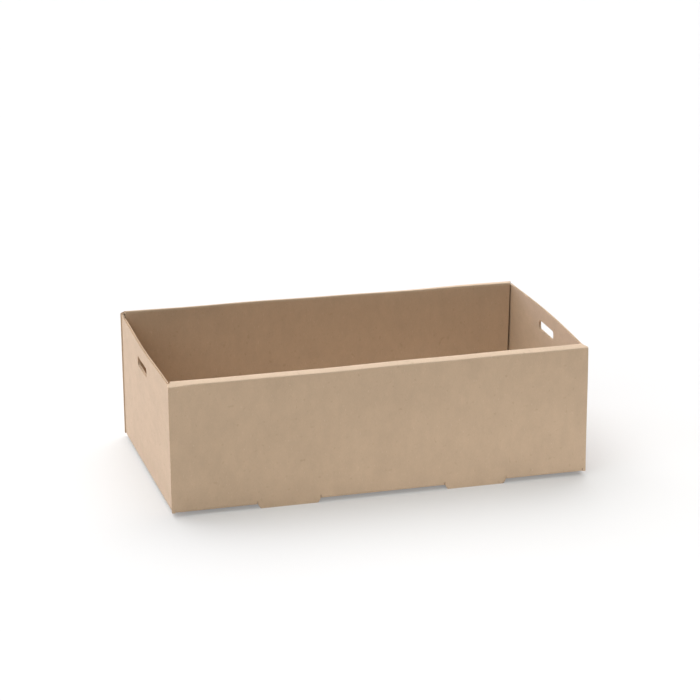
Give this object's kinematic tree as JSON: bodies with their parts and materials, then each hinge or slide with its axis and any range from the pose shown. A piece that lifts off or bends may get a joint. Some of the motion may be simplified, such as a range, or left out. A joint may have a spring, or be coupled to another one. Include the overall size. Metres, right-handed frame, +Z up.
{
  "type": "cardboard tray box",
  "caption": "Open kraft tray box folded from one die-cut board, with rolled-over long walls, a flat top rail, arched end walls with a slot each, and feet cut from the base.",
  "frame": {"origin": "on the floor under the middle of the tray, level with the lower edges of the feet", "axes": "+X along the long walls, +Z up, front long wall at -Y"},
  "size_m": [0.256, 0.152, 0.0811],
  "materials": {
    "kraft_board": "matte"
  },
  "bodies": {
    "root": {"tray": "kraft_board"}
  },
  "joints": []
}
